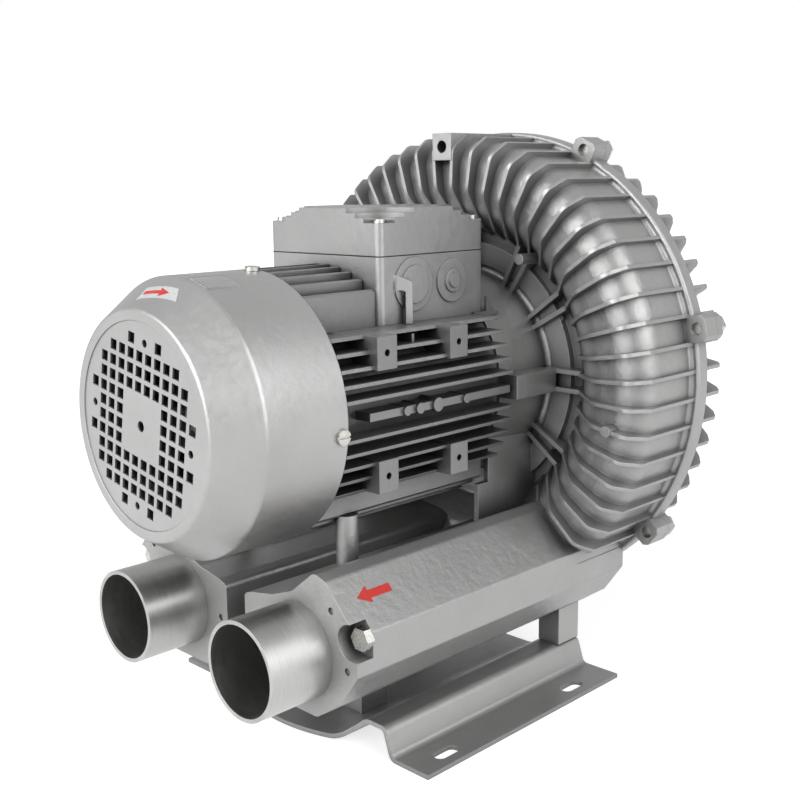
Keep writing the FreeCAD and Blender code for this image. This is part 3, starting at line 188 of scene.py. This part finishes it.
def silver_paint(name, color, grain, edge, flake=1.0, metallic=0.68, rough=(0.32, 0.44)):
    """Satin silver paint: fine flakes, cloudy tone, painted shade darkening the hollows, grain of the
    casting, soft edges.
    """
    shader = Shader(name, color, metallic, 0.4)
    clouds = shader.remap(shader.noise(CLOUD_SCALE, 4), 0.0, 1.0)
    flakes = shader.remap(shader.noise(FLAKE_SCALE, 2, roughness=0.8), 0.0, 1.0, 0.35, 0.65)
    cloudy = shader.mixed(clouds, tinted(color, 0.93), tinted(color, 1.05))
    factor = shader.remap(flakes, 0.0, 0.22 * flake, 0.0, 1.0)
    sparkling = shader.mixed(factor, cloudy, tinted(color, 1.55))
    # Painted shade: in hollows and crevices the colour darkens to 0.3 of itself, from ambient occlusion.
    painted_shade_mask = shader.remap(shader.painted_shade_openness(PAINTED_SHADE_REACH), 0.0, 1.0, 0.25, 0.8)
    shader.color(shader.mixed(painted_shade_mask, tinted(color, 0.3), sparkling))
    shader.roughness(shader.remap(shader.noise(SHEEN_SCALE, 3), rough[0], rough[1]))
    rounded = shader.rounded_edges(edge)
    fine = shader.bump(shader.noise(FINE_GRAIN_SCALE, 3), 0.00012 * grain, 1.0, rounded)
    shader.normal(shader.bump(shader.noise(COARSE_GRAIN_SCALE, 3), 0.00035 * grain, 1.0, fine))
    return shader.material


def turned_metal(name, color, rough, marks=(60, 2400, 60), metallic=1.0, depth=0.00004, edge=0.0004):
    """Bare metal with the rings that a lathe or a brush leaves round the Y axis."""
    shader = Shader(name, color, metallic, rough)
    rings = shader.noise(1.0, 4, shader.stretched(marks), 0.7)
    shader.color(shader.mixed(shader.remap(rings, 0.0, 1.0), tinted(color, 0.82), tinted(color, 1.1)))
    shader.roughness(shader.remap(rings, rough - 0.07, rough + 0.12))
    shader.normal(shader.bump(rings, depth, 1.0, shader.rounded_edges(edge)))
    return shader.material


def plated_metal(name, color, rough):
    """Zinc, spring steel or brass: bare, slightly clouded, with worn roughness."""
    shader = Shader(name, color, 1.0, rough)
    clouds = shader.noise(300, 4)
    shader.color(shader.mixed(shader.remap(clouds, 0.0, 1.0), tinted(color, 0.8), tinted(color, 1.08)))
    shader.roughness(shader.remap(shader.noise(900, 3), rough - 0.06, rough + 0.14))
    shader.normal(shader.bump(shader.noise(1800, 2), 0.00003, 1.0, shader.rounded_edges(0.0004)))
    return shader.material


def laminations():
    """Stacked electrical steel: thin dark lines across the shaft."""
    shader = Shader("stacked_laminations", (0.30, 0.30, 0.32), 0.8, 0.45)
    wave = shader.nodes.new("ShaderNodeTexWave")
    wave.bands_direction = "Y"
    wave.inputs["Scale"].default_value = 320
    shader.links.new(shader.place, wave.inputs["Vector"])
    shader.color(shader.mixed(wave.outputs["Fac"], (0.16, 0.16, 0.18), (0.36, 0.36, 0.38)))
    shader.normal(shader.bump(wave.outputs["Fac"], 0.00006))
    return shader.material


def copper_wire():
    """Varnished winding wire, its strands seen as fine ridges."""
    shader = Shader("varnished_copper", (0.55, 0.22, 0.09), 0.7, 0.3)
    strands = shader.noise(1.0, 2, shader.stretched((1500, 160, 1500)), 0.6)
    shader.color(shader.mixed(shader.remap(strands, 0.0, 1.0), (0.30, 0.10, 0.03), (0.66, 0.29, 0.12)))
    shader.normal(shader.bump(strands, 0.0003))
    return shader.material


def dull_solid(name, color, rough, scale, depth, metallic=0.0):
    """Rubber, foam, gasket sheet or moulded plastic, told apart by grain and roughness."""
    shader = Shader(name, color, metallic, rough)
    grain = shader.noise(scale, 4)
    shader.color(shader.mixed(shader.remap(grain, 0.0, 1.0), tinted(color, 0.7), tinted(color, 1.3)))
    shader.roughness(shader.remap(shader.noise(scale * 0.3, 2), rough - 0.06, rough + 0.08))
    shader.normal(shader.bump(grain, depth))
    return shader.material


def printed_film(name, color, rough=0.38):
    """Thin printed or clear label film."""
    shader = Shader(name, color, 0.0, rough)
    shader.color(shader.mixed(shader.remap(shader.noise(500, 2), 0.0, 1.0), tinted(color, 0.93),
                              tinted(color, 1.04)))
    shader.normal(shader.bump(shader.noise(700, 2), 0.00002))
    shader.surface.inputs["Coat Weight"].default_value = 0.25
    shader.surface.inputs["Coat Roughness"].default_value = 0.2
    return shader.material


def finish_cad_nodes():
    """One finish for each material slot of the record, assigned to the CAD's own objects."""
    finishes = {
        "cast_silver": silver_paint("cast_silver_paint", (0.38, 0.38, 0.377), 1.0, 0.0007),
        "motor_silver": silver_paint("motor_silver_paint", (0.25, 0.25, 0.249), 0.8, 0.0005),
        "cowl_paint": silver_paint("cowl_silver_paint", (0.43, 0.43, 0.427), 0.35, 0.0005),
        "box_paint": silver_paint("box_silver_paint", (0.35, 0.35, 0.348), 0.5, 0.0007),
        "bracket_paint": silver_paint("bracket_silver_paint", (0.34, 0.34, 0.337), 0.4, 0.0006),
        "pipe_aluminium": turned_metal("brushed_pipe", (0.48, 0.48, 0.47), 0.34),
        "bare_aluminium": silver_paint("bare_cast_aluminium", (0.5, 0.5, 0.5), 1.2, 0.0005, 0.4, 0.95),
        "zinc": plated_metal("zinc_plate", (0.62, 0.61, 0.58), 0.26),
        "spring_steel": plated_metal("oiled_spring_steel", (0.34, 0.34, 0.35), 0.3),
        "bearing_steel": turned_metal("ground_bearing_steel", (0.62, 0.62, 0.63), 0.14),
        "shaft_steel": turned_metal("turned_shaft_steel", (0.5, 0.5, 0.5), 0.28),
        "lamination_steel": laminations(),
        "copper_wire": copper_wire(),
        "seal_rubber": dull_solid("black_rubber", (0.03, 0.03, 0.03), 0.7, 900, 0.00005),
        "gasket_paper": dull_solid("gasket_sheet", (0.24, 0.26, 0.22), 0.85, 1400, 0.00008),
        "foam": dull_solid("open_cell_foam", (0.05, 0.05, 0.05), 0.95, 420, 0.0012),
        "fan_plastic": dull_solid("fan_moulding", (0.025, 0.025, 0.026), 0.5, 1200, 0.00004),
        "block_plastic": dull_solid("block_moulding", (0.05, 0.045, 0.04), 0.45, 1200, 0.00004),
        "brass_studs": plated_metal("bare_brass", (0.62, 0.43, 0.17), 0.28),
    }
    for part in frame["record"]["subparts"]:
        obj = frame["nodes"][part["node"]]
        for slot in obj.material_slots:
            slot.material = finishes[part["material_slot"]]


# Labels and plates

def strip_mesh(name, rows, thick, lift):
    """Thin curved plate from rows of (point, normal); its underside lies lift above the surface."""
    mesh = bmesh.new()
    layers = []
    for height in (lift, lift + thick):
        layers.append([[mesh.verts.new(Vector(p) + Vector(n) * height) for p, n in row] for row in rows])
    count, width = len(rows), len(rows[0])
    for i in range(count - 1):
        for j in range(width - 1):
            for layer, turn in ((layers[0], True), (layers[1], False)):
                corners = [layer[i][j], layer[i + 1][j], layer[i + 1][j + 1], layer[i][j + 1]]
                mesh.faces.new(corners[::-1] if turn else corners)
    rim = [(0, j) for j in range(width)] + [(i, width - 1) for i in range(1, count)]
    rim += [(count - 1, j) for j in range(width - 2, -1, -1)] + [(i, 0) for i in range(count - 2, 0, -1)]
    for (i, j), (k, m) in zip(rim, rim[1:] + rim[:1]):
        mesh.faces.new([layers[0][i][j], layers[0][k][m], layers[1][k][m], layers[1][i][j]])
    bmesh.ops.recalc_face_normals(mesh, faces=mesh.faces)
    data = bpy.data.meshes.new(name)
    mesh.to_mesh(data)
    mesh.free()
    obj = bpy.data.objects.new(name, data)
    bpy.context.collection.objects.link(obj)
    return obj


def dressed(obj, material, body="housing"):
    obj.data.materials.append(material)
    for face in obj.data.polygons:
        face.use_smooth = False
    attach(obj, body)
    return obj


def cowl_point(degrees, y):
    """Point and normal on the cowl at an angle counted from +X towards +Z, y back from its front."""
    angle = math.radians(degrees)
    slope = (COWL_R - COWL_RIM_R) / COWL_CONE
    radius = COWL_R if y >= COWL_CONE else COWL_RIM_R + slope * y
    lean = 0.0 if y >= COWL_CONE else -slope
    normal = Vector((math.cos(angle), lean, math.sin(angle))).normalized()
    point = Vector((radius * math.cos(angle), COWL_FRONT + y, SHAFT_HEIGHT + radius * math.sin(angle)))
    return point, normal


def grid(u0, u1, v0, v1, steps_u, steps_v, place):
    return [[place(u0 + (u1 - u0) * i / steps_u, v0 + (v1 - v0) * j / steps_v) for j in range(steps_v + 1)]
            for i in range(steps_u + 1)]


def arrow_rows(length, shaft_half, head_half, head_share, place, steps=14):
    """Rows across an arrow from its tail to its tip: place(along, across) gives point and normal."""
    rows = []
    neck = 1.0 - head_share
    stations = [(neck * i / steps, shaft_half) for i in range(steps + 1)]
    stations += [(neck + 0.002 + (head_share - 0.002) * i / steps, head_half * (1 - i / steps) + 0.00002)
                 for i in range(steps + 1)]
    for along, half in stations:
        rows.append([place(along * length, across * half) for across in (-1, -0.5, 0, 0.5, 1)])
    return rows


def cowl_arrow(clear_film, red_film):
    """Clear label, laid a little askew, with a red arrow: the shaft turns clockwise seen from the front."""
    front_left, back_left = Vector((95.5, 6.6 * MM)), Vector((97.0, 16.0 * MM))
    front_right, back_right = Vector((71.6, 12.7 * MM)), Vector((77.3, 19.3 * MM))

    def place(along, across):
        """Point of the label from its shares of the length and of the width."""
        left = front_left.lerp(back_left, across)
        return cowl_point(*left.lerp(front_right.lerp(back_right, across), along))

    rows = grid(0, 1, 0, 1, 16, 4, place)
    dressed(strip_mesh("rotation_label", rows, LABEL_THICK, SEAT), clear_film)
    tail, length, shaft_half, head_half, head_share = 0.08, 0.7, 0.14, 0.36, 0.36
    rows = arrow_rows(length, shaft_half, head_half, head_share,
                      lambda along, across: place(tail + along, 0.5 + across))
    dressed(strip_mesh("rotation_arrow", rows, PRINT_THICK, PRINT_OVER_LABEL), red_film)


def cowl_plate(plate_metal, border_metal):
    """Bare data plate behind the knee of the cowl, with a raised border and nothing on it."""
    left, right, front, back = 80.5, 67.5, 28.0 * MM, 52.0 * MM
    rows = grid(left, right, front, back, 10, 3, cowl_point)
    dressed(strip_mesh("bare_plate", rows, PLATE_THICK, SEAT), plate_metal)
    edge = 0.8 * MM
    edge_angle = math.degrees(edge / COWL_R)
    borders = {"front": (left, right, front, front + edge), "back": (left, right, back - edge, back),
               "left": (left, left - edge_angle, front, back),
               "right": (right + edge_angle, right, front, back)}
    for name, box in borders.items():
        rows = grid(*box, 10, 3, cowl_point)
        dressed(strip_mesh("plate_border_" + name, rows, BORDER_THICK, SEAT + PLATE_THICK), border_metal)


def flow_arrows(red_film):
    """Red arrows on the sloped faces: out of the right-hand pipe and into the left-hand one."""
    top, bottom = Vector((86 * MM, 0, 127 * MM)), Vector((112 * MM, 0, 100 * MM))
    down = (bottom - top).normalized()
    normal = Vector((-down.z, 0, down.x))
    normal = normal if normal.z > 0 else -normal
    below_top = 15.5 * MM
    centre = top + down * below_top
    start = COWL_FRONT + 103.5 * MM
    length, shaft_half, head_half, head_share = 27 * MM, 2.6 * MM, 5.6 * MM, 0.36
    for side, name in ((1, "outlet_arrow"), (-1, "inlet_arrow")):

        def place(along, across, side=side):
            y = start - along if side > 0 else start - length + along
            point = centre + down * across
            return Vector((side * point.x, y, point.z)), Vector((side * normal.x, 0, normal.z))

        rows = arrow_rows(length, shaft_half, head_half, head_share, place)
        dressed(strip_mesh(name, rows, PRINT_THICK, SEAT), red_film)


# Studio

def build_floor():
    """Pale floor that keeps the shadow; it is white to the eye and to reflections, and bounces little."""
    bpy.ops.mesh.primitive_plane_add(size=60, location=(0, 0, 0))
    floor = bpy.context.object
    floor.name = "floor"
    material = bpy.data.materials.new("floor_white")
    material.use_nodes = True
    nodes, links = material.node_tree.nodes, material.node_tree.links
    surface = nodes["Principled BSDF"]
    surface.inputs["Roughness"].default_value = 0.9
    surface.inputs["Specular IOR Level"].default_value = 0.0
    seen = seen_ray(nodes, links)
    mix = nodes.new("ShaderNodeMix")
    mix.data_type = "RGBA"
    mix.inputs[6].default_value = (FLOOR_BOUNCE, FLOOR_BOUNCE, FLOOR_BOUNCE, 1)
    mix.inputs[7].default_value = (FLOOR_SEEN, FLOOR_SEEN, FLOOR_SEEN, 1)
    links.new(seen, mix.inputs[0])
    links.new(mix.outputs[2], surface.inputs["Base Color"])
    glow = nodes.new("ShaderNodeMath")
    glow.operation = "MULTIPLY"
    glow.inputs[1].default_value = FLOOR_GLOW
    links.new(seen, glow.inputs[0])
    surface.inputs["Emission Color"].default_value = (1, 1, 1, 1)
    links.new(glow.outputs[0], surface.inputs["Emission Strength"])
    floor.data.materials.append(material)


def seen_ray(nodes, links, others=("Is Glossy Ray", "Is Transmission Ray")):
    """1 for camera rays and the other kinds named, else 0."""
    path = nodes.new("ShaderNodeLightPath")
    total = path.outputs["Is Camera Ray"]
    for name in others:
        add = nodes.new("ShaderNodeMath")
        add.operation = "MAXIMUM"
        links.new(total, add.inputs[0])
        links.new(path.outputs[name], add.inputs[1])
        total = add.outputs[0]
    return total


def build_world():
    """White to the eye and through glass, greyer in reflections, and giving little light of its own."""
    world = bpy.data.worlds.new("studio")
    bpy.context.scene.world = world
    world.use_nodes = True
    nodes, links = world.node_tree.nodes, world.node_tree.links
    background = nodes["Background"]
    background.inputs["Color"].default_value = (1, 1, 1, 1)
    mirrored = nodes.new("ShaderNodeMapRange")
    mirrored.inputs["To Min"].default_value = WORLD_FILL
    mirrored.inputs["To Max"].default_value = WORLD_MIRRORED
    path = nodes.new("ShaderNodeLightPath")
    links.new(path.outputs["Is Glossy Ray"], mirrored.inputs["Value"])
    strength = nodes.new("ShaderNodeMapRange")
    strength.inputs["To Max"].default_value = WORLD_SEEN
    links.new(mirrored.outputs["Result"], strength.inputs["To Min"])
    links.new(seen_ray(nodes, links, ("Is Transmission Ray",)), strength.inputs["Value"])
    links.new(strength.outputs["Result"], background.inputs["Strength"])


def soft_sun(name, came_from, strength, spread):
    light = bpy.data.lights.new(name, "SUN")
    light.energy = strength
    light.angle = math.radians(spread)
    lamp = bpy.data.objects.new(name, light)
    lamp.rotation_euler = (-Vector(came_from)).to_track_quat("-Z", "Y").to_euler()
    bpy.context.collection.objects.link(lamp)


def build_lights():
    """Large soft key from the front, weaker soft light from the right."""
    soft_sun("key", KEY_FROM, KEY_STRENGTH, KEY_SPREAD)
    soft_sun("side", SIDE_FROM, SIDE_STRENGTH, SIDE_SPREAD)


def build_camera():
    data = bpy.data.cameras.new("camera")
    data.lens = CAMERA_LENS
    data.sensor_width = 36
    data.clip_start = 0.01
    camera = bpy.data.objects.new("camera", data)
    yaw, pitch, roll = (math.radians(v) for v in (CAMERA_YAW, CAMERA_PITCH, CAMERA_ROLL))
    ahead = Vector((-math.sin(yaw) * math.cos(pitch), math.cos(yaw) * math.cos(pitch), -math.sin(pitch)))
    right = Vector((math.cos(yaw), math.sin(yaw), 0))
    up = right.cross(ahead)
    rolled_right = right * math.cos(roll) + up * math.sin(roll)
    rolled_up = up * math.cos(roll) - right * math.sin(roll)
    turn = Matrix((rolled_right, rolled_up, -ahead)).transposed()
    camera.matrix_world = Matrix.Translation(CAMERA_PLACE) @ turn.to_4x4()
    bpy.context.collection.objects.link(camera)
    bpy.context.scene.camera = camera


build_camera()
build_world()
build_floor()
build_lights()
finish_cad_nodes()

red = printed_film("red_print", (0.62, 0.03, 0.02))
pale = printed_film("clear_label", (0.62, 0.63, 0.63), 0.3)
plate = turned_metal("plate_aluminium", (0.58, 0.58, 0.58), 0.38, (900, 40, 900))
border = turned_metal("plate_border", (0.42, 0.42, 0.42), 0.45, (900, 40, 900))
cowl_arrow(pale, red)
cowl_plate(plate, border)
flow_arrows(red)

bpy.context.scene.view_settings.view_transform = "Standard"
bpy.context.view_layer.update()
